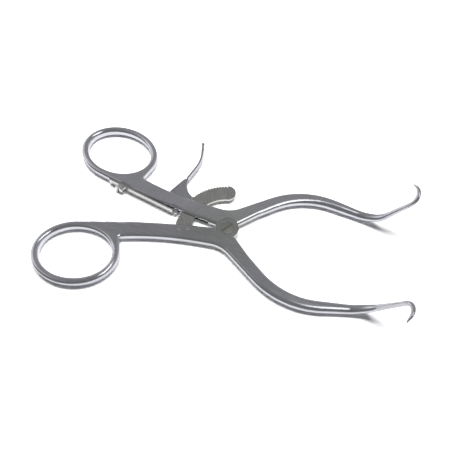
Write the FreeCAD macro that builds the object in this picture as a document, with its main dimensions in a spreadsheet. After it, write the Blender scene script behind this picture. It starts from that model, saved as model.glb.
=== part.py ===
import FreeCAD, Part

# Self-retaining retractor with two ring handles and outward-turned points.
# Millimetres. The origin is on the pivot axis, on the surface the instrument lies on.
# +X runs to the points, +Y to the arm that carries the release lever, +Z up.
import math
import os

from FreeCAD import Placement, Rotation, Vector

doc = FreeCAD.newDocument("self_retaining_retractor")

# Driving dimensions. "back" and "ahead" are distances behind and ahead of the pivot,
# "out" is sideways from the middle line, "up" is above the table. Angles are in degrees.
SIZES = {
    "thickness": (5.2, "height of the flat arms"),
    "rim_round": (1.8, "rounding of every long edge of the arms"),
    "ring_back": (70.5, "middle of the finger hole"),
    "ring_out": (32.1, "middle of the finger hole"),
    "ring_long": (18.4, "half length of the finger hole"),
    "ring_short": (13.75, "half width of the finger hole"),
    "ring_tilt": (8.4, "turn of the finger hole towards the pivot"),
    "ring_band": (3.75, "metal around the finger hole"),
    "neck_angle": (16.0, "slope at which the shank leaves the ring"),
    "notch_back": (52.0, "corner between ring and shank"),
    "notch_out": (18.75, "corner between ring and shank"),
    "notch_round": (1.2, "rounding of that corner"),
    "shank_width": (8.7, "shank at its middle"),
    "shank_end_back": (8.0, "inner side of the shank, next to the joint"),
    "shank_end_out": (1.3, "inner side of the shank, next to the joint"),
    "waist_back": (12.0, "outer side of the shank, next to the joint"),
    "waist_out": (11.3, "outer side of the shank, next to the joint"),
    "waist_corner": (0.7, "where shank and jaw would meet on the outer side"),
    "waist_radius": (15.0, "rounding of the waist"),
    "crotch_ahead": (1.5, "where shank and jaw would meet on the inner side"),
    "crotch_radius": (5.0, "rounding between them, hidden in the joint"),
    "root_ahead": (12.0, "start of the tapered jaw"),
    "root_out": (15.1, "start of the tapered jaw"),
    "root_width": (7.6, "jaw at its start"),
    "arch_ahead": (35.0, "corner of the jaw's arch"),
    "arch_out": (32.5, "corner of the jaw's arch"),
    "arch_radius": (42.0, "bend of the arch"),
    "arch_width": (6.0, "jaw at the end of the arch"),
    "rise_ahead": (68.5, "where the jaw starts to lift off the table"),
    "rise_out": (26.7, "where the jaw starts to lift off the table"),
    "rise_radius": (16.0, "bend of that lift"),
    "knee_ahead": (76.9, "corner where the jaw turns up"),
    "knee_out": (25.2, "corner where the jaw turns up"),
    "knee_up": (6.1, "corner where the jaw turns up"),
    "knee_radius": (12.0, "bend of the knee"),
    "knee_width": (3.9, "round jaw at the knee"),
    "hook_ahead": (90.8, "corner of the hooked end"),
    "hook_out": (26.6, "corner of the hooked end"),
    "hook_up": (32.1, "corner of the hooked end"),
    "hook_radius": (5.0, "bend of the hook"),
    "hook_width": (2.3, "round jaw where the hook starts"),
    "tip_ahead": (86.2, "sharp end"),
    "tip_out": (36.0, "sharp end"),
    "tip_above": (27.0, "sharp end"),
    "tip_width": (0.6, "sharp end"),
    "boss_radius": (6.1, "round lap of the joint"),
    "lap_gap": (0.06, "between the two laps, and around them"),
    "screw_radius": (1.8, "shank of the pivot screw"),
    "screw_gap": (0.05, "running clearance of the pivot screw"),
    "head_radius": (3.5, "head of the pivot screw"),
    "head_depth": (1.2, "how deep that head is let in"),
    "head_crown": (0.35, "dome of that head"),
    "slot_width": (0.9, "screwdriver slots"),
    "slot_depth": (0.8, "screwdriver slots"),
    "slot_turn": (52.0, "way the slot of the pivot screw points"),
    "tooth_radius": (26.9, "tips of the ratchet teeth"),
    "tooth_depth": (0.9, "height of the teeth"),
    "tooth_pitch_angle": (3.5, "turn of the arms per tooth"),
    "tooth_first_angle": (102.2, "first tooth and middle of the bar's round free end"),
    "tooth_count": (23.0, "number of teeth"),
    "ratchet_inner": (18.2, "inner edge of the ratchet bar"),
    "ratchet_plate": (1.6, "thickness of the ratchet bar"),
    "ratchet_end_angle": (203.0, "end of the bar inside the near arm"),
    "slot_gap": (0.15, "clearance above and below bar and lever in the slotted arm"),
    "arm_slot_behind": (3.0, "slot in the far arm, behind the lever's outer corner"),
    "arm_slot_ahead": (7.7, "slot in the far arm, ahead of the ratchet bar"),
    "pin_radius": (0.8, "lever pin and ratchet pins"),
    "pin_gap": (0.05, "running clearance of the lever on its pin"),
    "lever_pin_reach": (2.0, "lever pin beyond the tooth tips"),
    "lever_pin_angle": (162.07, "lever pin about the pivot"),
    "pawl_angle": (147.4, "corner of the lever that catches the teeth"),
    "pawl_gap": (0.15, "play between that corner and the tooth tips"),
    "lever_corner_back": (8.0, "outer corner of the lever plate, from its pin"),
    "lever_corner_out": (6.1, "outer corner of the lever plate, from its pin"),
    "apex_back": (2.9, "top of the lever plate, from its pin"),
    "apex_out": (15.3, "top of the lever plate, from its pin"),
    "tail_back": (1.0, "root of the thumb tail, from the lever pin"),
    "tail_out": (15.7, "root of the thumb tail, from the lever pin"),
    "tail_bend_ahead": (3.45, "corner of the tail's bend, from the lever pin"),
    "tail_bend_out": (29.3, "corner of the tail's bend, from the lever pin"),
    "tail_end_ahead": (1.3, "end of the thumb tail, from the lever pin"),
    "tail_end_out": (40.7, "end of the thumb tail, from the lever pin"),
    "tail_radius": (22.0, "bend of the thumb tail"),
    "tail_plate": (1.0, "thickness of the thumb tail"),
    "tail_height": (4.4, "height of the thumb tail"),
    "bead_radius": (0.85, "thickened end of the thumb tail"),
    "heel_shelf": (0.55, "how far the lever's heel stands out of the slot under the leaf spring"),
    "heel_nose": (1.9, "how far it stands out in front of the leaf spring"),
    "spring_screw_back": (62.0, "screw of the leaf spring"),
    "spring_foot": (7.5, "leaf spring behind its screw"),
    "spring_end_gap": (0.6, "leaf spring short of the lever's nose"),
    "spring_plate": (0.8, "thickness of the leaf spring"),
    "spring_height": (4.8, "height of the leaf spring"),
    "spring_bore": (1.1, "hole and thread of the spring screw"),
    "spring_thread": (3.6, "length of that thread in the arm"),
    "spring_head": (2.5, "radius of the spring screw's head"),
    "spring_head_height": (2.4, "height of the spring screw's head"),
    "spring_head_crown": (0.25, "dome of that head"),
}

sheet = doc.addObject("Spreadsheet::Sheet", "sizes")
for row, (alias, (value, meaning)) in enumerate(SIZES.items(), start=1):
    sheet.set(f"A{row}", meaning)
    sheet.set(f"B{row}", str(value))
    sheet.setAlias(f"B{row}", alias)
doc.recompute()


def size(alias):
    """A driving dimension, read from the spreadsheet."""
    return float(sheet.get(alias))


THICKNESS = size("thickness")
MID = THICKNESS / 2
UP = Vector(0, 0, 1)
BELOW = 1.0


def flat(x, y):
    return Vector(x, y, 0)


def polar(radius, degrees):
    return Vector(radius * math.cos(math.radians(degrees)), radius * math.sin(math.radians(degrees)), 0)


def heading(degrees):
    return polar(1, degrees)


def left_of(direction):
    return Vector(-direction.y, direction.x, 0)


def corner_turn(before, corner, after):
    """Unit directions into and out of a corner, and half the turn between them."""
    into = (corner - before).normalize()
    out = (after - corner).normalize()
    return into, out, into.getAngle(out) / 2


def rounded(points, radii):
    """Straight runs through the points, with a tangent arc of the given radius at each inner one."""
    edges = []
    start = points[0]
    for before, corner, after, radius in zip(points, points[1:], points[2:], radii):
        into, out, half = corner_turn(before, corner, after)
        reach = radius * math.tan(half)
        first = corner - into * reach
        last = corner + out * reach
        inward = (out - into).normalize()
        middle = corner + inward * (radius / math.cos(half) - radius)
        edges += [Part.LineSegment(start, first), Part.Arc(first, middle, last)]
        start = last
    edges.append(Part.LineSegment(start, points[-1]))
    return edges


def arc_from_tangent(start, direction, end):
    """Arc that leaves start along a direction and arrives at end, and its heading there."""
    chord = end - start
    turn = math.atan2(direction.x * chord.y - direction.y * chord.x, direction.dot(chord))
    radius = chord.Length / (2 * math.sin(abs(turn)))
    bulge = radius * (1 - math.cos(turn))
    side = -1 if turn > 0 else 1
    middle = start + chord * 0.5 + left_of(chord).normalize() * bulge * side
    arrive = math.degrees(math.atan2(chord.y, chord.x) + turn)
    return Part.Arc(start, middle, end), heading(arrive)


def role_plane(body, role):
    return [feature for feature in body.Origin.OriginFeatures if feature.Role == role][0]


def add_sketch(body, name, curves, role="XY_Plane", lift=None):
    """Sketch on one of the body's own origin planes; lift is an expression for its height."""
    sketch = body.newObject("Sketcher::SketchObject", name)
    sketch.AttachmentSupport = [(role_plane(body, role), "")]
    sketch.MapMode = "FlatFace"
    for curve in curves:
        sketch.addGeometry(curve, False)
    if lift:
        sketch.setExpression("AttachmentOffset.Base.z", lift)
    return sketch


def add_pad(body, name, sketch, length):
    pad = body.newObject("PartDesign::Pad", name)
    pad.Profile = sketch
    pad.setExpression("Length", length)
    body.Tip = pad
    return pad


def polygon(points):
    return [Part.LineSegment(a, b) for a, b in zip(points, points[1:] + points[:1])]


def add_cylinder(name, radius, height, base=Vector(), direction=UP):
    """Cylinder whose radius and height are expressions in the sizes."""
    cylinder = doc.addObject("Part::Cylinder", name)
    cylinder.setExpression("Radius", radius)
    cylinder.setExpression("Height", height)
    cylinder.Placement = Placement(base, Rotation(UP, direction))
    return cylinder


def add_cut(name, base, tool):
    result = doc.addObject("Part::Cut", name)
    result.Base = base
    result.Tool = tool
    return result


def add_union(name, shapes):
    result = doc.addObject("Part::MultiFuse", name)
    result.Shapes = shapes
    result.Refine = True
    return result


# Outline of one arm, seen from above, for the arm on the +Y side.
ring_centre = flat(-size("ring_back"), size("ring_out"))
ring_axis = heading(-size("ring_tilt"))
ring_across = left_of(ring_axis)
rim_long = size("ring_long") + size("ring_band")
rim_short = size("ring_short") + size("ring_band")


def ring_point(long_half, short_half, parameter):
    along = ring_axis * (long_half * math.cos(parameter))
    across = ring_across * (short_half * math.sin(parameter))
    return ring_centre + along + across


def ring_ellipse(long_half, short_half):
    return Part.Ellipse(
        ring_centre + ring_axis * long_half, ring_centre + ring_across * short_half, ring_centre
    )


def rim_parameter_seen_from(point):
    """Where the line from an outside point touches the ring's outer edge, on its front side."""
    offset = point - ring_centre
    along = offset.dot(ring_axis) / rim_long
    across = offset.dot(ring_across) / rim_short
    return math.atan2(across, along) + math.acos(1 / math.hypot(along, across))


def rim_parameter_of_slope(degrees):
    """Where the ring's outer edge has this slope, on its inner side."""
    slope = math.tan(math.radians(degrees + size("ring_tilt")))
    return math.atan2(-rim_short, -slope * -rim_long)


notch = flat(-size("notch_back"), size("notch_out"))
web_parameter = rim_parameter_seen_from(notch)
neck_parameter = rim_parameter_of_slope(-size("neck_angle"))
web_start = ring_point(rim_long, rim_short, web_parameter)
neck = ring_point(rim_long, rim_short, neck_parameter)

shank_end = flat(-size("shank_end_back"), size("shank_end_out"))
inner_side, inner_heading = arc_from_tangent(neck, heading(-size("neck_angle")), shank_end)
inner_middle = inner_side.value((inner_side.FirstParameter + inner_side.LastParameter) / 2)
outer_middle = inner_middle + left_of((shank_end - neck).normalize()) * size("shank_width")
waist = flat(-size("waist_back"), size("waist_out"))
outer_side = Part.Arc(notch, outer_middle, waist)
waist_heading = Vector(*outer_side.tangent(outer_side.LastParameter)[0])
if waist_heading.x < 0:
    waist_heading = waist_heading * -1

root = Vector(size("root_ahead"), size("root_out"), MID)
arch = Vector(size("arch_ahead"), size("arch_out"), MID)
jaw_heading = (arch - root).normalize()
root_half = left_of(jaw_heading) * (size("root_width") / 2)
root_outer = flat(root.x, root.y) + root_half
root_inner = flat(root.x, root.y) - root_half


def along_to(start, direction, x):
    """Point on the line from start that has this x."""
    return start + direction * ((x - start.x) / direction.x)


waist_corner = along_to(waist, waist_heading, -size("waist_corner"))
crotch_corner = along_to(shank_end, inner_heading, size("crotch_ahead"))

arm_blank = doc.addObject("PartDesign::Body", "arm_blank")
ring_rim = Part.ArcOfEllipse(ring_ellipse(rim_long, rim_short), web_parameter, neck_parameter + 2 * math.pi)
outline = [ring_rim, inner_side]
outline += rounded([shank_end, crotch_corner, root_inner], [size("crotch_radius")])
outline += [Part.LineSegment(root_inner, root_outer)]
outline += rounded([root_outer, waist_corner, waist], [size("waist_radius")])
outline += [outer_side, Part.LineSegment(notch, web_start)]
outline += [ring_ellipse(size("ring_long"), size("ring_short"))]
arm_pad = add_pad(arm_blank, "arm_stock", add_sketch(arm_blank, "arm_outline", outline), "sizes.thickness")
doc.recompute()


def edge_names(shape, wanted):
    return [f"Edge{number}" for number, edge in enumerate(shape.Edges, start=1) if wanted(edge)]


def midpoint(edge):
    return edge.valueAt((edge.FirstParameter + edge.LastParameter) / 2)


NEAR_ENOUGH = 0.01


def is_notch(edge):
    middle = midpoint(edge)
    return abs(middle.z - MID) < NEAR_ENOUGH and (flat(middle.x, middle.y) - notch).Length < NEAR_ENOUGH


notch_fillet = arm_blank.newObject("PartDesign::Fillet", "notch_fillet")
notch_fillet.Base = (arm_pad, edge_names(arm_pad.Shape, is_notch))
notch_fillet.setExpression("Radius", "sizes.notch_round")
arm_blank.Tip = notch_fillet
doc.recompute()


def is_rim(edge):
    """Long top and bottom edges, without the two where the tapered jaw joins on."""
    middle = midpoint(edge)
    level = abs(middle.z) < NEAR_ENOUGH or abs(middle.z - THICKNESS) < NEAR_ENOUGH
    at_root = (flat(middle.x, middle.y) - flat(root.x, root.y)).Length < NEAR_ENOUGH
    return level and not at_root


rim_fillet = arm_blank.newObject("PartDesign::Fillet", "rim_fillet")
rim_fillet.Base = (notch_fillet, edge_names(notch_fillet.Shape, is_rim))
rim_fillet.setExpression("Radius", "sizes.rim_round")
arm_blank.Tip = rim_fillet
doc.recompute()


# Tapered jaw: arch, lift, knee, riser and hook as one path. Its section turns from flat to round.
rise = Vector(size("rise_ahead"), size("rise_out"), MID)
knee = Vector(size("knee_ahead"), size("knee_out"), size("knee_up"))
hook = Vector(size("hook_ahead"), size("hook_out"), size("hook_up"))
tip = Vector(size("tip_ahead"), size("tip_out"), size("tip_above"))
jaw_radii = [size("arch_radius"), size("rise_radius"), size("knee_radius"), size("hook_radius")]
jaw_path = [curve.toShape() for curve in rounded([root, arch, rise, knee, hook, tip], jaw_radii)]
to_arch, arch_bend, to_rise, rise_bend, to_knee, knee_bend, riser, hook_bend, point = jaw_path
ROUNDNESS = 0.94
SECTION_SPACING = 7.0
SECTION_TURN = 16.0


def jaw_stations():
    """Distance, point and direction along the jaw's path, closer together where it bends."""
    stations = []
    travelled = 0
    for edge in jaw_path:
        start, end = edge.FirstParameter, edge.LastParameter
        turn = math.degrees(edge.tangentAt(start).getAngle(edge.tangentAt(end)))
        steps = max(1, math.ceil(edge.Length / SECTION_SPACING), math.ceil(turn / SECTION_TURN))
        for step in range(steps):
            share = step / steps
            parameter = start + (end - start) * share
            distance = travelled + edge.Length * share
            stations.append((distance, edge.valueAt(parameter), edge.tangentAt(parameter)))
        travelled += edge.Length
    last = jaw_path[-1]
    stations.append((travelled, last.valueAt(last.LastParameter), last.tangentAt(last.LastParameter)))
    return stations


ARCH_END = to_arch.Length + arch_bend.Length
KNEE_MIDDLE = ARCH_END + to_rise.Length + rise_bend.Length + to_knee.Length + knee_bend.Length / 2
HOOK_START = KNEE_MIDDLE + knee_bend.Length / 2 + riser.Length
TIP_END = HOOK_START + hook_bend.Length + point.Length


def between(distance, start, end, first, last):
    share = min(max((distance - start) / (end - start), 0), 1)
    return first + (last - first) * share


def jaw_width(distance):
    if distance < ARCH_END:
        return between(distance, 0, ARCH_END, size("root_width"), size("arch_width"))
    if distance < KNEE_MIDDLE:
        return between(distance, ARCH_END, KNEE_MIDDLE, size("arch_width"), size("knee_width"))
    if distance < HOOK_START:
        share = between(distance, KNEE_MIDDLE, HOOK_START, 0, 1)
        return size("hook_width") + (size("knee_width") - size("hook_width")) * (1 - share) ** 2
    share = between(distance, HOOK_START, TIP_END, 0, 1)
    return size("tip_width") + (size("hook_width") - size("tip_width")) * (1 - share ** 3)


def jaw_height(distance):
    if distance > KNEE_MIDDLE:
        return jaw_width(distance)
    share = between(distance, ARCH_END, KNEE_MIDDLE, 0, 1)
    return THICKNESS + (size("knee_width") - THICKNESS) * share ** 2


def rounded_section(point, side, up, width, height, corner):
    """Rectangle with round corners, square to the path."""
    half_w, half_h = width / 2, height / 2
    straight_w, straight_h = half_w - corner, half_h - corner
    diagonal = corner * math.sqrt(0.5)

    def place(across, above):
        return point + side * across + up * above

    edges = []
    for right, top in ((1, 1), (-1, 1), (-1, -1), (1, -1)):
        on_side = place(right * half_w, top * straight_h)
        on_top = place(right * straight_w, top * half_h)
        middle = place(right * (straight_w + diagonal), top * (straight_h + diagonal))
        first, last = (on_side, on_top) if right == top else (on_top, on_side)
        edges.append(Part.Arc(first, middle, last).toShape())
        if right == top:
            edges.append(Part.LineSegment(last, place(-right * straight_w, top * half_h)).toShape())
        else:
            edges.append(Part.LineSegment(last, place(right * half_w, -top * straight_h)).toShape())
    return Part.Wire(edges)


def jaw_root_face():
    """End face of the flat arm, where the jaw joins on."""
    return min(rim_fillet.Shape.Faces, key=lambda face: (face.CenterOfMass - root).Length)


def jaw_shape():
    sections = [jaw_root_face().OuterWire]
    side = left_of(jaw_heading)
    for distance, point, tangent in jaw_stations()[1:]:
        side = (side - tangent * side.dot(tangent)).normalize()
        width, height = jaw_width(distance), jaw_height(distance)
        full_corner = ROUNDNESS * min(width, height) / 2
        corner = between(distance, 0, ARCH_END, size("rim_round"), full_corner)
        sections.append(rounded_section(point, side, tangent.cross(side), width, height, corner))
    return Part.makeLoft(sections, True, False)


jaw = doc.addObject("Part::Feature", "tapered_jaw")
jaw.Shape = jaw_shape()

boss = add_cylinder("joint_boss", "sizes.boss_radius", "sizes.thickness")
far_blank = add_union("far_blank", [arm_blank, jaw, boss])
near_blank = doc.addObject("Part::Mirroring", "near_blank")
near_blank.Source = far_blank
near_blank.Normal = Vector(0, 1, 0)


# Joint: the near arm's lap lies on the far arm's lap, and the pivot screw holds both.
HALF_CUT = "sizes.thickness / 2 + sizes.lap_gap / 2 + 1"
LAP_CUT_RADIUS = "sizes.boss_radius + sizes.lap_gap"
under_lap = add_cylinder("under_near_lap", LAP_CUT_RADIUS, HALF_CUT, Vector(0, 0, -BELOW))
over_lap = add_cylinder("over_far_lap", LAP_CUT_RADIUS, HALF_CUT, Vector(0, 0, MID - size("lap_gap") / 2))
near_bore = add_cylinder(
    "near_bore", "sizes.screw_radius + sizes.screw_gap", "sizes.thickness + 2", Vector(0, 0, -BELOW)
)
head_seat = add_cylinder(
    "head_seat", "sizes.head_radius + sizes.screw_gap", "sizes.head_depth + 1",
    Vector(0, 0, THICKNESS - size("head_depth")),
)
far_thread = add_cylinder("far_thread", "sizes.screw_radius", "sizes.thickness + 2", Vector(0, 0, -BELOW))


def screw_slot(name, head, base, rotation):
    """Bar that cuts a screwdriver slot across a head, centred on its base."""
    slot = doc.addObject("Part::Box", name)
    slot.setExpression("Length", f"4 * sizes.{head}")
    slot.setExpression("Width", "sizes.slot_width")
    slot.setExpression("Height", "sizes.slot_depth + 1")
    centre = Vector(-2 * size(head), -size("slot_width") / 2, 0)
    slot.Placement = Placement(base + rotation.multVec(centre), rotation)
    return slot


def turned_screw(name, shank_radius, shank_from, seat, head_radius, head_top, crown):
    """Screw turned about its own Z axis: shank, flat head and a crowned top."""
    body = doc.addObject("PartDesign::Body", name)
    profile = [
        flat(0, shank_from), flat(shank_radius, shank_from), flat(shank_radius, seat),
        flat(head_radius, seat), flat(head_radius, head_top),
    ]
    top = flat(0, head_top + crown)
    sphere = (head_radius ** 2 + crown ** 2) / (2 * crown)
    bulge = flat(head_radius / 2, head_top + crown - sphere + math.sqrt(sphere ** 2 - head_radius ** 2 / 4))
    curves = [Part.LineSegment(a, b) for a, b in zip(profile, profile[1:])]
    curves += [Part.Arc(profile[-1], bulge, top), Part.LineSegment(top, profile[0])]
    sketch = add_sketch(body, name + "_profile", curves, "XZ_Plane")
    turned = body.newObject("PartDesign::Revolution", name + "_turned")
    turned.Profile = sketch
    turned.ReferenceAxis = (sketch, ["V_Axis"])
    turned.Angle = 360
    body.Tip = turned
    return body


pivot_blank = turned_screw(
    "pivot_blank", size("screw_radius"), 0, THICKNESS - size("head_depth") + size("lap_gap") / 2,
    size("head_radius"), THICKNESS, size("head_crown"),
)
pivot_slot = screw_slot(
    "pivot_slot", "head_radius",
    Vector(0, 0, THICKNESS + size("head_crown") - size("slot_depth")), Rotation(UP, size("slot_turn")),
)
pivot_screw = add_cut("pivot_screw", pivot_blank, pivot_slot)


# Ratchet bar: a toothed ring sector about the pivot, let into the near arm and pinned there.
PIN_RADIUS = "sizes.pin_radius"
THROUGH = "sizes.thickness + 2"
cap_radius = (size("tooth_radius") - size("ratchet_inner")) / 2
band_radius = size("ratchet_inner") + cap_radius
first_angle = size("tooth_first_angle")
pitch_angle = size("tooth_pitch_angle")
last_angle = first_angle + int(size("tooth_count")) * pitch_angle
end_angle = size("ratchet_end_angle")


def ratchet_outline():
    root_radius = size("tooth_radius") - size("tooth_depth")
    corners = [polar(size("tooth_radius"), first_angle)]
    for number in range(int(size("tooth_count"))):
        angle = first_angle + number * pitch_angle
        corners += [polar(root_radius, angle), polar(size("tooth_radius"), angle + pitch_angle)]
    outer_end = polar(size("tooth_radius"), end_angle)
    inner_end = polar(size("ratchet_inner"), end_angle)
    curves = [Part.LineSegment(a, b) for a, b in zip(corners, corners[1:])]
    curves += [
        Part.Arc(corners[-1], polar(size("tooth_radius"), (last_angle + end_angle) / 2), outer_end),
        Part.LineSegment(outer_end, inner_end),
        Part.Arc(inner_end, polar(size("ratchet_inner"), (first_angle + end_angle) / 2),
                 polar(size("ratchet_inner"), first_angle)),
        Part.Arc(polar(size("ratchet_inner"), first_angle),
                 polar(band_radius, first_angle) - left_of(heading(first_angle)) * cap_radius, corners[0]),
    ]
    return curves


ratchet_blank = doc.addObject("PartDesign::Body", "ratchet_blank")
add_pad(
    ratchet_blank, "ratchet_stock",
    add_sketch(ratchet_blank, "ratchet_outline", ratchet_outline(),
               lift="sizes.thickness / 2 - sizes.ratchet_plate / 2"),
    "sizes.ratchet_plate",
)

# The pins stand a pin's width inside the bar's end, a quarter of its width from each edge.
pin_angle = end_angle - math.degrees(3 * size("pin_radius") / band_radius)
pin_places = [polar(band_radius + side * cap_radius / 2, pin_angle) for side in (-1, 1)]


def pins(name, radius, height, places):
    """Parallel pins or drills, through the thickness of the arms."""
    drills = [
        add_cylinder(f"{name}_{number}", radius, height, place)
        for number, place in enumerate(places, start=1)
    ]
    group = doc.addObject("Part::Compound", name)
    group.Links = drills
    return group


ratchet_pins = pins("ratchet_pins", PIN_RADIUS, "sizes.thickness", pin_places)
pin_drills = pins("ratchet_pin_drills", PIN_RADIUS, THROUGH, [place - UP * BELOW for place in pin_places])
ratchet_bar = add_cut("ratchet_bar", ratchet_blank, pin_drills)

pocket_outer = add_cylinder(
    "ratchet_pocket_outer", "sizes.tooth_radius", "sizes.ratchet_plate",
    Vector(0, 0, MID - size("ratchet_plate") / 2),
)
pocket_inner = add_cylinder(
    "ratchet_pocket_inner", "sizes.ratchet_inner", "sizes.ratchet_plate",
    Vector(0, 0, MID - size("ratchet_plate") / 2),
)
POCKET_START = 180
for ring in (pocket_outer, pocket_inner):
    ring.setExpression("Angle", f"sizes.ratchet_end_angle - {POCKET_START}")
    ring.Placement = Placement(ring.Placement.Base, Rotation(UP, POCKET_START))
ratchet_pocket = add_cut("ratchet_pocket", pocket_outer, pocket_inner)

near_tools = add_union("near_tools", [under_lap, near_bore, head_seat, ratchet_pocket])
near_milled = add_cut("near_milled", near_blank, near_tools)
near_arm = add_cut("near_arm", near_milled, pin_drills)


# Slot through the far arm, for the ratchet bar and the release lever.
lever_place = polar(size("tooth_radius") + size("lever_pin_reach"), size("lever_pin_angle"))
lever_corner = lever_place + flat(-size("lever_corner_back"), size("lever_corner_out"))
shank_line = (shank_end - neck).normalize()
slot_left = along_to(shank_end, shank_line, lever_corner.x - size("arm_slot_behind"))
slot_right = along_to(shank_end, shank_line, size("arm_slot_ahead") - size("ratchet_inner"))
arm_slot = doc.addObject("Part::Box", "arm_slot")
arm_slot.Length = (slot_right - slot_left).Length
arm_slot.setExpression("Width", "4 * sizes.shank_width")
arm_slot.setExpression("Height", "sizes.ratchet_plate + 2 * sizes.slot_gap")
slot_turned = Rotation(UP, math.degrees(math.atan2(shank_line.y, shank_line.x)))
slot_corner = slot_left - left_of(shank_line) * (2 * size("shank_width"))
arm_slot.Placement = Placement(
    slot_corner + UP * (MID - size("ratchet_plate") / 2 - size("slot_gap")), slot_turned
)



# Leaf spring: a flat blade, tangent to the inner side of the far arm at its screw.
def point_on_inner_side(x):
    """Point and heading of the shank's inner side at this x."""
    circle = inner_side.toShape().Curve
    centre, radius = circle.Center, circle.Radius
    side = 1 if centre.y < neck.y else -1
    point = flat(x, centre.y + side * math.sqrt(radius ** 2 - (x - centre.x) ** 2))
    along = left_of((point - centre).normalize())
    if along.x < 0:
        along = along * -1
    return point, along


spring_seat, spring_line = point_on_inner_side(-size("spring_screw_back"))
spring_out = left_of(spring_line) * -1
spring_turned = Rotation(UP, math.degrees(math.atan2(spring_line.y, spring_line.x)))
heel_base, heel_along = point_on_inner_side(lever_place.x)
heel_out = left_of(heel_along) * -1
NOSE_BACK = 1.9
nose_back = heel_base - heel_along * NOSE_BACK
spring_length = (nose_back - spring_seat).dot(spring_line) - size("spring_end_gap")
blade = doc.addObject("Part::Box", "spring_blade")
blade.setExpression("Length", f"sizes.spring_foot + {spring_length}")
blade.setExpression("Width", "sizes.spring_plate")
blade.setExpression("Height", "sizes.spring_height")
blade_corner = spring_seat - spring_line * size("spring_foot") + spring_out * size("spring_plate")
blade.Placement = Placement(blade_corner + UP * (MID - size("spring_height") / 2), spring_turned)

screw_base = spring_seat + UP * MID
SPRING_BORE = "sizes.spring_bore"
blade_drill = add_cylinder(
    "blade_drill", SPRING_BORE, "sizes.spring_plate + 2", screw_base - spring_out * BELOW, spring_out
)
spring_thread_hole = add_cylinder(
    "spring_thread_hole", SPRING_BORE, "sizes.spring_thread + 1",
    screw_base - spring_out * size("spring_thread"), spring_out,
)
leaf_spring = add_cut("leaf_spring", blade, blade_drill)

# The screw is turned about Z and then laid over, with its slot upright.
screw_way = Rotation(spring_line, UP.cross(spring_line), spring_out, "ZXY")
head_top = size("spring_plate") + size("spring_head_height")
spring_screw_blank = turned_screw(
    "spring_screw_blank", size("spring_bore"), -size("spring_thread"), size("spring_plate"),
    size("spring_head"), head_top - size("spring_head_crown"), size("spring_head_crown"),
)
upright = Rotation(UP, 90)
spring_screw_slot = screw_slot(
    "spring_screw_slot", "spring_head",
    Vector(0, 0, head_top - size("slot_depth")), upright,
)
spring_screw = add_cut("spring_screw", spring_screw_blank, spring_screw_slot)
spring_screw.Placement = Placement(screw_base, screw_way)


# Release lever: a plate in the slot, with a pawl corner, a heel behind the spring and a thumb tail.
lever_pin = add_cylinder("lever_pin", PIN_RADIUS, "sizes.thickness", lever_place)
lever_pin_hole = add_cylinder("lever_pin_hole", PIN_RADIUS, THROUGH, lever_place - UP * BELOW)
lever_bore = add_cylinder(
    "lever_bore", "sizes.pin_radius + sizes.pin_gap", THROUGH, lever_place - UP * BELOW
)

clear_radius = size("tooth_radius") + size("pawl_gap")
apex = lever_place + flat(-size("apex_back"), size("apex_out"))
tail_root = lever_place + flat(-size("tail_back"), size("tail_out"))
tail_bend = lever_place + flat(size("tail_bend_ahead"), size("tail_bend_out"))
tail_end = lever_place + flat(size("tail_end_ahead"), size("tail_end_out"))


def lever_outline():
    """Plate outline, counterclockwise from the pawl corner."""
    pawl = polar(clear_radius, size("pawl_angle"))
    tail_half = size("tail_plate") / 2
    neck_right = tail_root + flat(tail_half, 0)
    throat = (pawl + neck_right) * 0.5 + flat(-1.5, -0.8)
    shelf = heel_base + heel_out * size("heel_shelf")
    nose = heel_base + heel_out * size("heel_nose")
    shoulder = lever_place - heel_along * 3.2
    entry = lever_corner + heel_out * 1.6 + heel_along * 0.6
    pin_height = math.degrees(math.atan2(lever_place.y - 0.5, -lever_place.x))
    below_pin = polar(clear_radius + 0.15, 180 - pin_height)
    beside_pawl = polar(clear_radius, size("pawl_angle") + 1.5)
    curves = [Part.Arc(pawl, throat, neck_right)]
    loop = [neck_right, tail_root + flat(-0.9, 0.3), apex, lever_corner, entry, shoulder]
    loop += [shelf - heel_along * 3.6, shelf - heel_along * (NOSE_BACK + 0.2)]
    loop += [nose - heel_along * NOSE_BACK, nose - heel_along * 0.5, below_pin]
    curves += [Part.LineSegment(a, b) for a, b in zip(loop, loop[1:])]
    back_angle = (size("pawl_angle") + 1.5 + 180 - pin_height) / 2
    curves += [Part.Arc(below_pin, polar(clear_radius + 0.1, back_angle), beside_pawl)]
    curves += [Part.LineSegment(beside_pawl, pawl)]
    return curves


def tail_outline():
    """Strip that stands on edge, with a thickened end."""
    half = size("tail_plate") / 2
    into, out, turn = corner_turn(tail_root, tail_bend, tail_end)
    start_side = left_of(into)
    end_side = left_of(out)
    inward = (out - into).normalize()
    at_bend = inward * (half / math.cos(turn))
    right = [tail_root - start_side * half, tail_bend - at_bend, tail_end - end_side * half]
    left = [tail_end + end_side * half, tail_bend + at_bend, tail_root + start_side * half]
    curves = rounded(right, [size("tail_radius") + half])
    curves += [Part.LineSegment(right[-1], left[0])]
    curves += rounded(left, [size("tail_radius") - half])
    curves += [Part.LineSegment(left[-1], right[0])]
    return curves


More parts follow.
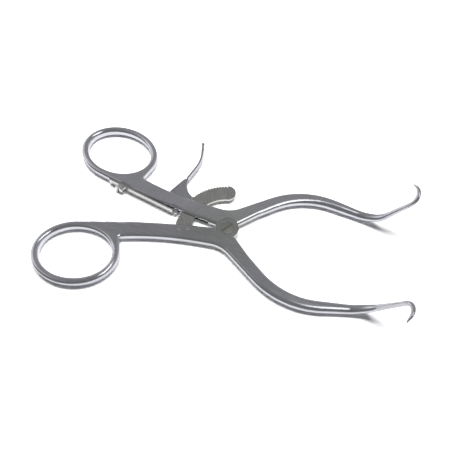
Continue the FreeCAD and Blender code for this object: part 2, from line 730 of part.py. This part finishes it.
lever_plate = doc.addObject("PartDesign::Body", "lever_plate")
add_pad(
    lever_plate, "lever_stock",
    add_sketch(lever_plate, "lever_outline", lever_outline(),
               lift="sizes.thickness / 2 - sizes.ratchet_plate / 2"),
    "sizes.ratchet_plate",
)
lever_tail = doc.addObject("PartDesign::Body", "lever_tail")
add_pad(
    lever_tail, "tail_stock",
    add_sketch(lever_tail, "tail_outline", tail_outline(),
               lift="sizes.thickness / 2 - sizes.tail_height / 2"),
    "sizes.tail_height",
)
tail_bead = add_cylinder(
    "tail_bead", "sizes.bead_radius", "sizes.tail_height", tail_end + UP * (MID - size("tail_height") / 2)
)
lever_blank = add_union("lever_blank", [lever_plate, lever_tail, tail_bead])
release_lever = add_cut("release_lever", lever_blank, lever_bore)

far_tools = add_union("far_tools", [over_lap, far_thread, arm_slot, lever_pin_hole, spring_thread_hole])
far_arm = add_cut("far_arm", far_blank, far_tools)

NODES = [
    near_arm, far_arm, pivot_screw, ratchet_bar, ratchet_pins,
    release_lever, lever_pin, leaf_spring, spring_screw,
]
doc.recompute()

for item in doc.Objects:
    if "Invalid" in item.State or "Error" in item.State:
        raise RuntimeError(f"{item.Name} did not build: {item.State}")
for node in NODES:
    if node.Shape.isNull() or not node.Shape.isValid():
        raise RuntimeError(f"{node.Label} has no valid shape")

os.makedirs("parts", exist_ok=True)
for node in NODES:
    node.Shape.exportStep(os.path.join("parts", node.Label + ".step"))
    box = node.Shape.BoundBox
    print(f"{node.Label}: {len(node.Shape.Solids)} solids, {node.Shape.Volume:.1f} mm3, "
          f"{box.XLength:.1f} x {box.YLength:.1f} x {box.ZLength:.1f}, z from {box.ZMin:.2f}")
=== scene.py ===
"""Looks of the self-retaining retractor: satin and polished steel on a pale table."""
import math

import bpy
import mathutils
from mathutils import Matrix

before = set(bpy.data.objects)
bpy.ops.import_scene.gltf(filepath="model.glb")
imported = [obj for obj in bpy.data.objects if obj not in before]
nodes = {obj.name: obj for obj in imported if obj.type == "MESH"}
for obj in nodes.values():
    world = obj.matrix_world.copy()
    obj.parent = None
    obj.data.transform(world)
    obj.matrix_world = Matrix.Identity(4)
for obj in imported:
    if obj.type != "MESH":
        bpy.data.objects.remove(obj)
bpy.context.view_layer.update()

MM = 0.001
scene = bpy.context.scene


# Shader nodes
class Tree:
    """Short way to add linked shader nodes to a material or world."""

    def __init__(self, tree):
        self.tree = tree
        tree.nodes.clear()

    def add(self, kind, inputs=None, **settings):
        node = self.tree.nodes.new(kind)
        for key, value in settings.items():
            setattr(node, key, value)
        for key, value in (inputs or {}).items():
            socket = node.inputs[key]
            if isinstance(value, bpy.types.NodeSocket):
                self.tree.links.new(value, socket)
            else:
                socket.default_value = value
        return node

    def maths(self, operation, a, b=0.0):
        return self.add("ShaderNodeMath", {0: a, 1: b}, operation=operation).outputs[0]

    def vector(self, operation, result, inputs):
        node = self.add("ShaderNodeVectorMath", inputs, operation=operation)
        return node.outputs[result]

    def mixed(self, factor, first, second):
        """Mixes two shaders."""
        return self.add("ShaderNodeMixShader", {0: factor, 1: first, 2: second}).outputs[0]

    def greys(self, factor, stops):
        """Grey over a factor from 0 to 1, straight between (place, grey) stops."""
        node = self.add("ShaderNodeValToRGB", {"Fac": factor})
        elements = node.color_ramp.elements
        while len(elements) < len(stops):
            elements.new(0.5)
        for element, (place, grey) in zip(elements, stops):
            element.position = place
            element.color = (grey, grey, grey, 1)
        return node.outputs["Color"]


def noise(t, vector, scale, detail):
    return t.add("ShaderNodeTexNoise", {
        "Vector": vector, "Scale": scale, "Detail": detail, "Roughness": 0.55,
    }).outputs["Fac"]


def span(t, value, low, high, to_low, to_high):
    """Turns the range low..high into to_low..to_high, and holds it outside that."""
    return t.add("ShaderNodeMapRange", {
        "Value": value, "From Min": low, "From Max": high, "To Min": to_low, "To Max": to_high,
    }).outputs["Result"]


# A Mix node has a set of sockets for each kind of data: these are the ones for colours.
MIX_FIRST, MIX_SECOND, MIX_RESULT = 6, 7, 2


def mix_colour(t, factor, first, second):
    sockets = {0: factor, MIX_FIRST: first, MIX_SECOND: second}
    return t.add("ShaderNodeMix", sockets, data_type="RGBA").outputs[MIX_RESULT]


# Steel
LINE_SCALE = (120, 5200, 2600)
STREAK_SCALE = (120, 1600, 600)
CLOUD_SCALE = 70.0
SPECK_SCALE = 1300.0
NOISE_LOW, NOISE_HIGH = 0.3, 0.7
SPECK_LOW, SPECK_HIGH = 0.62, 0.74
CLOUD_SHARE = 0.06
SIDE_SLOPE, FLAT_SLOPE = 0.93, 0.995
WORN_END, CLEAN_START = 16 * MM, 40 * MM
WORN_SHIFT = 20 * MM
WORN_TINT = (0.95, 0.96, 0.89)
FLAT_SMOOTHER, FLAT_ROUGHER = 0.05, 0.07
SIDE_GRAIN = 0.02
GRAIN_HEIGHT = 0.02 * MM
EASED_EDGE = 0.25 * MM


def steel(name, tone, tint, flat_rough, side_rough, grain_angle, grain_depth,
          flat_painted_shade=0.9, streak=0.07, speck=0.10):
    """Stainless steel: satin on the flat faces, polished on the rounded sides.

    grain_angle turns the fine brush lines about Z. The tone varies slowly, with faint streaks along
    the brush lines and small bright specks, and its hue is warmer around the pivot.
    """
    material = bpy.data.materials.new(name)
    material.use_nodes = True
    t = Tree(material.node_tree)
    coordinates = t.add("ShaderNodeTexCoord")
    place = coordinates.outputs["Object"]
    turned = t.add("ShaderNodeMapping", {
        "Vector": place, "Rotation": (0, 0, math.radians(grain_angle)),
    }).outputs[0]
    lines_at = t.add("ShaderNodeMapping", {"Vector": turned, "Scale": LINE_SCALE}).outputs[0]
    lines = noise(t, lines_at, 1.0, 3.0)
    streaks_at = t.add("ShaderNodeMapping", {"Vector": turned, "Scale": STREAK_SCALE}).outputs[0]
    streaks = noise(t, streaks_at, 1.0, 2.0)
    clouds = noise(t, place, CLOUD_SCALE, 2.0)
    specks = noise(t, place, SPECK_SCALE, 2.0)

    normal = t.add("ShaderNodeSeparateXYZ", {"Vector": coordinates.outputs["Normal"]})
    slope = t.maths("ABSOLUTE", normal.outputs["Z"])
    flat = span(t, slope, SIDE_SLOPE, FLAT_SLOPE, 0.0, 1.0)

    level = span(t, streaks, NOISE_LOW, NOISE_HIGH, 1 - streak, 1 + streak)
    cloudy = span(t, clouds, NOISE_LOW, NOISE_HIGH, 1 - CLOUD_SHARE, 1 + CLOUD_SHARE)
    level = t.maths("MULTIPLY", level, cloudy)
    level = t.maths("ADD", level, span(t, specks, SPECK_LOW, SPECK_HIGH, 0.0, speck))
    # Painted shade: the colour of the flat faces is made darker than that of the rounded sides.
    level = t.maths("MULTIPLY", level, span(t, flat, 0.0, 1.0, tone, tone * flat_painted_shade))

    away = t.vector("LENGTH", "Value", {0: place})
    away = t.maths("ADD", away, t.maths("MULTIPLY", clouds, WORN_SHIFT))
    worn = span(t, away, WORN_END, CLEAN_START, 1.0, 0.0)
    worn_tint = tuple(part * change for part, change in zip(tint, WORN_TINT))
    hue = mix_colour(t, worn, tint + (1,), worn_tint + (1,))
    colour = t.vector("SCALE", "Vector", {0: hue, "Scale": level})

    rough_flat = span(
        t, lines, NOISE_LOW, NOISE_HIGH, flat_rough - FLAT_SMOOTHER, flat_rough + FLAT_ROUGHER)
    rough = span(t, flat, 0.0, 1.0, side_rough, rough_flat)
    depth = t.maths("ADD", t.maths("MULTIPLY", flat, grain_depth), SIDE_GRAIN)
    eased = t.add("ShaderNodeBevel", {"Radius": EASED_EDGE}, samples=4)
    bump = t.add("ShaderNodeBump", {
        "Strength": depth, "Distance": GRAIN_HEIGHT, "Height": lines, "Normal": eased.outputs["Normal"],
    })
    shader = t.add("ShaderNodeBsdfPrincipled", {
        "Base Color": colour, "Metallic": 1.0, "Roughness": rough, "Normal": bump.outputs["Normal"],
    })
    t.add("ShaderNodeOutputMaterial", {"Surface": shader.outputs["BSDF"]})
    return material


VIOLET = (0.975, 0.98, 1.05)
NEUTRAL = (1.0, 1.0, 0.99)
STEELS = {
    "near_arm": steel(
        "satin_near", tone=0.64, tint=VIOLET, flat_rough=0.17, side_rough=0.08,
        grain_angle=7, grain_depth=0.14, flat_painted_shade=0.82,
    ),
    "far_arm": steel(
        "satin_far", tone=0.64, tint=VIOLET, flat_rough=0.17, side_rough=0.08,
        grain_angle=-58, grain_depth=0.22, flat_painted_shade=0.97,
    ),
    "pivot_screw": steel(
        "screw_head", tone=0.44, tint=NEUTRAL, flat_rough=0.5, side_rough=0.45,
        grain_angle=40, grain_depth=0.35, speck=0.3,
    ),
    "ratchet_bar": steel(
        "bar_grain", tone=0.60, tint=NEUTRAL, flat_rough=0.24, side_rough=0.16,
        grain_angle=80, grain_depth=0.5, streak=0.16, speck=0.4,
    ),
    "ratchet_pins": steel(
        "pin_ends", tone=0.68, tint=NEUTRAL, flat_rough=0.30, side_rough=0.2,
        grain_angle=20, grain_depth=0.2,
    ),
    "release_lever": steel(
        "lever_grain", tone=0.60, tint=VIOLET, flat_rough=0.24, side_rough=0.16,
        grain_angle=60, grain_depth=0.5,
    ),
    "lever_pin": steel(
        "pin_end", tone=0.62, tint=NEUTRAL, flat_rough=0.32, side_rough=0.2,
        grain_angle=50, grain_depth=0.2,
    ),
    "leaf_spring": steel(
        "spring_steel", tone=0.72, tint=NEUTRAL, flat_rough=0.20, side_rough=0.12,
        grain_angle=-14, grain_depth=0.2,
    ),
    "spring_screw": steel(
        "small_screw", tone=0.72, tint=NEUTRAL, flat_rough=0.2, side_rough=0.14,
        grain_angle=30, grain_depth=0.2,
    ),
}
for name, material in STEELS.items():
    mesh = nodes[name].data
    mesh.materials.clear()
    mesh.materials.append(material)


# Table
TABLE_HALF = 600 * MM
TABLE_DROP = 0.02 * MM
TABLE_GREY = 0.93
ADDED_GREY = 0.4
MIRRORED_NEAR, MIRRORED_END = 12 * MM, 30 * MM
FADE_START, FADE_END = 220 * MM, 400 * MM


def table_material():
    """White table with the object's shadow, which fades into the white beyond.

    Steel mirrors the table only close by, and the room elsewhere.
    """
    material = bpy.data.materials.new("table_white")
    material.use_nodes = True
    t = Tree(material.node_tree)
    path = t.add("ShaderNodeLightPath").outputs
    matt = t.add("ShaderNodeBsdfDiffuse", {"Color": (TABLE_GREY, TABLE_GREY, TABLE_GREY, 1)}).outputs[0]
    added = t.add("ShaderNodeBsdfDiffuse", {"Color": (ADDED_GREY, ADDED_GREY, ADDED_GREY, 1)}).outputs[0]
    brighter = t.add("ShaderNodeAddShader", {0: matt, 1: added}).outputs[0]
    brightest = t.add("ShaderNodeAddShader", {0: brighter, 1: added}).outputs[0]
    clear = t.add("ShaderNodeBsdfTransparent").outputs[0]

    far = span(t, path["Ray Length"], MIRRORED_NEAR, MIRRORED_END, 0.0, 1.0)
    mirrored = t.mixed(far, brighter, clear)
    away = t.vector("LENGTH", "Value", {0: t.add("ShaderNodeTexCoord").outputs["Object"]})
    faded = span(t, away, FADE_START, FADE_END, 0.0, 1.0)
    seen = t.mixed(faded, brightest, clear)
    direct = t.mixed(path["Is Camera Ray"], matt, seen)
    surface = t.mixed(path["Is Glossy Ray"], direct, mirrored)
    t.add("ShaderNodeOutputMaterial", {"Surface": surface})
    return material


table_mesh = bpy.data.meshes.new("table")
table_mesh.from_pydata(
    [(-TABLE_HALF, -TABLE_HALF, 0), (TABLE_HALF, -TABLE_HALF, 0),
     (TABLE_HALF, TABLE_HALF, 0), (-TABLE_HALF, TABLE_HALF, 0)],
    [], [(0, 1, 2, 3)],
)
table = bpy.data.objects.new("table", table_mesh)
table.location = (0, 0, -TABLE_DROP)
scene.collection.objects.link(table)
table_mesh.materials.append(table_material())


# Light
VIEWER_SIDE = (0.179, -0.984, 0.0)
RIGHT_SIDE = (0.984, 0.179, 0.0)
# Greys of the room over the angle from straight up, in degrees, towards the viewer
ROOM = (
    (-180, 0.95), (-122, 0.95), (-106, 0.38), (-92, 0.34), (-60, 0.35), (-38, 0.34), (0, 0.30),
    (14, 0.25), (28, 0.21), (78, 0.21), (104, 0.98), (180, 0.95),
)
BEND_EDGE = 0.15
BEND = 35
SLANT = 55
WINDOW_LIGHT = 2.0
LEFT_LIGHT = 0.95
RIGHT_LIGHT = 0.7
ROOM_GLOW = (0.035, 0.036, 0.04, 1)


def world_light():
    """Room that the steel mirrors, a faint glow from it on the rest, and white behind the table.

    The room is grey, with a bright window ahead on the right and bright walls left and right.
    Sideways goes from -1 on the left to 1 on the right. Further left than BEND_EDGE the greys shift
    by BEND degrees per unit sideways. One pair of the window's edges slants by SLANT degrees per unit.
    """
    world = bpy.data.worlds.new("room")
    scene.world = world
    world.use_nodes = True
    t = Tree(world.node_tree)
    way = t.add("ShaderNodeTexCoord").outputs["Generated"]
    height = t.add("ShaderNodeSeparateXYZ", {"Vector": way}).outputs["Z"]
    towards = t.vector("DOT_PRODUCT", "Value", {0: way, 1: VIEWER_SIDE})
    sideways = t.vector("DOT_PRODUCT", "Value", {0: way, 1: RIGHT_SIDE})
    angle = t.maths("MULTIPLY", t.maths("ARCTAN2", towards, height), 180 / math.pi)
    left_of_edge = t.maths("MINIMUM", t.maths("ADD", sideways, BEND_EDGE), 0)
    bent = t.maths("ADD", angle, t.maths("MULTIPLY", left_of_edge, BEND))
    room = t.greys(
        span(t, bent, -180, 180, 0.0, 1.0), [((degrees + 180) / 360, grey) for degrees, grey in ROOM])

    def inside(*edges):
        """One where every value is between its low and high limit, with soft edges.

        Sideways, a limit of -2 or 2 is none.
        """
        result = 1.0
        for value, low, high, soft in edges:
            rise = span(t, value, low - soft, low + soft, 0.0, 1.0)
            fall = span(t, value, high - soft, high + soft, 1.0, 0.0)
            result = t.maths("MULTIPLY", t.maths("MULTIPLY", rise, fall), result)
        return result

    slanted = t.maths("SUBTRACT", angle, t.maths("MULTIPLY", sideways, SLANT))
    window = inside((slanted, -27, 7, 4), (angle, -15, 60, 3), (sideways, 0.14, 0.58, 0.05))
    left = inside((sideways, -2, -0.6, 0.25), (angle, -78, 14, 12))
    right = inside((sideways, 0.82, 2, 0.1), (height, -0.6, 0.35, 0.1))
    for mask, bright in ((left, LEFT_LIGHT), (right, RIGHT_LIGHT), (window, WINDOW_LIGHT)):
        room = mix_colour(t, mask, room, (bright, bright, bright, 1))

    def background(colour):
        return t.add("ShaderNodeBackground", {"Color": colour, "Strength": 1.0}).outputs[0]

    path = t.add("ShaderNodeLightPath").outputs
    lit = t.mixed(path["Is Glossy Ray"], background(ROOM_GLOW), background(room))
    seen = t.mixed(path["Is Camera Ray"], lit, background((1, 1, 1, 1)))
    t.add("ShaderNodeOutputWorld", {"Surface": seen})


world_light()

LAMP_LEAN, LAMP_AZIMUTH = 16, 100
LAMP_DISTANCE = 1.0
LAMP_WIDTH, LAMP_DEPTH = 0.75, 0.27
LAMP_WATTS = 9.8


def overhead_lamp():
    """Rectangular lamp that faces the middle of the object and isn't mirrored in the steel.

    It leans from straight up towards an azimuth, in degrees from +X to +Y.
    """
    light = bpy.data.lights.new("overhead", "AREA")
    light.shape = "RECTANGLE"
    light.size = LAMP_WIDTH
    light.size_y = LAMP_DEPTH
    light.energy = LAMP_WATTS
    lean, azimuth = math.radians(LAMP_LEAN), math.radians(LAMP_AZIMUTH)
    way = mathutils.Vector((
        math.sin(lean) * math.cos(azimuth), math.sin(lean) * math.sin(azimuth), math.cos(lean),
    )).normalized()
    lamp = bpy.data.objects.new("overhead", light)
    lamp.location = way * LAMP_DISTANCE
    lamp.rotation_mode = "QUATERNION"
    lamp.rotation_quaternion = way.to_track_quat("Z", "Y")
    lamp.visible_glossy = False
    scene.collection.objects.link(lamp)


overhead_lamp()


# Camera
ELEVATION, AZIMUTH, ROLL = 61.75, 10.32, 4.0
ARM_THICKNESS = 5.2 * MM
PIVOT = mathutils.Vector((0, 0, ARM_THICKNESS))
PIVOT_DISTANCE = 233.3 * MM
PIVOT_PIXEL = (226.94, 227.72)
IMAGE_PIXELS = 450
FOCAL_PIXELS = 449.9
SENSOR_WIDTH = 36.0
CLIP_START = 10 * MM


def photo_camera():
    """Camera of the photo: its distance and direction from the pivot, and the pivot's pixel."""
    elevation, azimuth, roll = (math.radians(value) for value in (ELEVATION, AZIMUTH, ROLL))
    back = mathutils.Vector((
        math.sin(azimuth) * math.cos(elevation),
        -math.cos(azimuth) * math.cos(elevation),
        math.sin(elevation),
    ))
    level = mathutils.Vector((math.cos(azimuth), math.sin(azimuth), 0))
    upward = back.cross(level)
    right = level * math.cos(roll) + upward * math.sin(roll)
    up = upward * math.cos(roll) - level * math.sin(roll)
    shift_x, shift_y = (
        (pixel - IMAGE_PIXELS / 2) / FOCAL_PIXELS * PIVOT_DISTANCE for pixel in PIVOT_PIXEL)

    data = bpy.data.cameras.new("camera")
    data.sensor_width = SENSOR_WIDTH
    data.lens = FOCAL_PIXELS / IMAGE_PIXELS * SENSOR_WIDTH
    data.clip_start = CLIP_START
    camera = bpy.data.objects.new("camera", data)
    place = PIVOT + back * PIVOT_DISTANCE - right * shift_x + up * shift_y
    turn = mathutils.Matrix((right, up, back)).transposed().to_4x4()
    camera.matrix_world = mathutils.Matrix.Translation(place) @ turn
    scene.collection.objects.link(camera)
    scene.camera = camera


photo_camera()

scene.view_settings.view_transform = "Standard"
